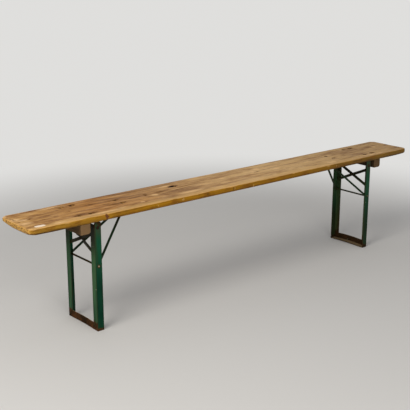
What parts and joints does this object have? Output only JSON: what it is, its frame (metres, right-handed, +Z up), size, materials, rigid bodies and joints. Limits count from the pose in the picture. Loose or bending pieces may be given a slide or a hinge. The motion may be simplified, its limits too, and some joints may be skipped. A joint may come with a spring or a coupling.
{
  "type": "folding bench",
  "caption": "Long wooden plank bench on folding leg frames of angle iron, cross-braced and propped open by bow struts that snap into spring catches under the seat.",
  "frame": {"origin": "centre of the footprint on the floor, under the middle of the plank", "axes": "+X along the plank, towards the end that is at the right in the picture; +Y across the bench, away from the camera side; +Z up"},
  "size_m": [2.2, 0.23, 0.48],
  "materials": {
    "lacquered_wood": "worn ochre lacquer over pine, rubbed bare on top",
    "bare_wood": "greyed bare pine",
    "green_paint": "old dark green enamel, chipped to rust",
    "rusty_iron": "brown rust with traces of green paint",
    "dark_steel": "dull dark steel, lightly rusted",
    "spring_steel": "worn spring steel"
  },
  "bodies": {
    "seat": {"seat_board": "lacquered_wood", "left_batten": "bare_wood", "right_batten": "bare_wood", "left_front_hinge_bolt": "dark_steel", "left_front_hinge_nut": "dark_steel", "left_front_batten_bolt": "dark_steel", "left_front_batten_nut": "dark_steel", "left_front_catch_bolt": "dark_steel", "left_front_catch_nut": "dark_steel", "left_back_hinge_bolt": "dark_steel", "left_back_hinge_nut": "dark_steel", "left_back_batten_bolt": "dark_steel", "left_back_batten_nut": "dark_steel", "left_back_catch_bolt": "dark_steel", "left_back_catch_nut": "dark_steel", "right_front_hinge_bolt": "dark_steel", "right_front_hinge_nut": "dark_steel", "right_front_batten_bolt": "dark_steel", "right_front_batten_nut": "dark_steel", "right_front_catch_bolt": "dark_steel", "right_front_catch_nut": "dark_steel", "right_back_hinge_bolt": "dark_steel", "right_back_hinge_nut": "dark_steel", "right_back_batten_bolt": "dark_steel", "right_back_batten_nut": "dark_steel", "right_back_catch_bolt": "dark_steel", "right_back_catch_nut": "dark_steel", "left_front_hinge_bracket": "dark_steel", "left_back_hinge_bracket": "dark_steel", "right_front_hinge_bracket": "dark_steel", "right_back_hinge_bracket": "dark_steel", "left_front_hinge_rivet": "rusty_iron", "left_back_hinge_rivet": "rusty_iron", "right_front_hinge_rivet": "rusty_iron", "right_back_hinge_rivet": "rusty_iron", "left_catch_plate": "dark_steel", "right_catch_plate": "dark_steel", "left_catch_rivet": "dark_steel", "right_catch_rivet": "dark_steel"},
    "left_frame": {"left_front_leg": "green_paint", "left_back_leg": "green_paint", "left_foot_bar": "rusty_iron", "left_brace_bar_straight": "rusty_iron", "left_brace_bar_stepped": "rusty_iron", "left_brace_rivet": "rusty_iron", "left_axle_rod": "rusty_iron"},
    "right_frame": {"right_front_leg": "green_paint", "right_back_leg": "green_paint", "right_foot_bar": "rusty_iron", "right_brace_bar_straight": "rusty_iron", "right_brace_bar_stepped": "rusty_iron", "right_brace_rivet": "rusty_iron", "right_axle_rod": "rusty_iron"},
    "left_bow": {"left_bow_strut": "green_paint"},
    "right_bow": {"right_bow_strut": "green_paint"},
    "left_catch": {"left_catch_leaf": "spring_steel"},
    "right_catch": {"right_catch_leaf": "spring_steel"}
  },
  "joints": [
    {"name": "left_fold", "type": "hinge", "parent": "seat", "child": "left_frame", "pos_m": [-0.805, 0, 0.43], "axis": [0, -1, 0], "range_deg": [0, 90]},
    {"name": "right_fold", "type": "hinge", "parent": "seat", "child": "right_frame", "pos_m": [0.805, 0, 0.43], "axis": [0, 1, 0], "range_deg": [0, 90]},
    {"name": "left_bow_swing", "type": "hinge", "parent": "left_frame", "child": "left_bow", "pos_m": [-0.805, 0, 0.27191], "axis": [0, 1, 0], "range_deg": [0, 134]},
    {"name": "right_bow_swing", "type": "hinge", "parent": "right_frame", "child": "right_bow", "pos_m": [0.805, 0, 0.27191], "axis": [0, -1, 0], "range_deg": [0, 134]},
    {"name": "left_catch_press", "type": "hinge", "parent": "seat", "child": "left_catch", "pos_m": [-0.64579, 0, 0.4513], "axis": [0, 1, 0], "range_deg": [0, 24], "stiffness_Nm_per_rad": 0.7, "deforming": ["left_catch_leaf"]},
    {"name": "right_catch_press", "type": "hinge", "parent": "seat", "child": "right_catch", "pos_m": [0.64579, 0, 0.4513], "axis": [0, -1, 0], "range_deg": [0, 24], "stiffness_Nm_per_rad": 0.7, "deforming": ["right_catch_leaf"]}
  ],
  "couplings": [
    {"joint": "left_bow_swing", "follows": "left_fold", "ratio": 1.4889},
    {"joint": "right_bow_swing", "follows": "right_fold", "ratio": 1.4889}
  ]
}
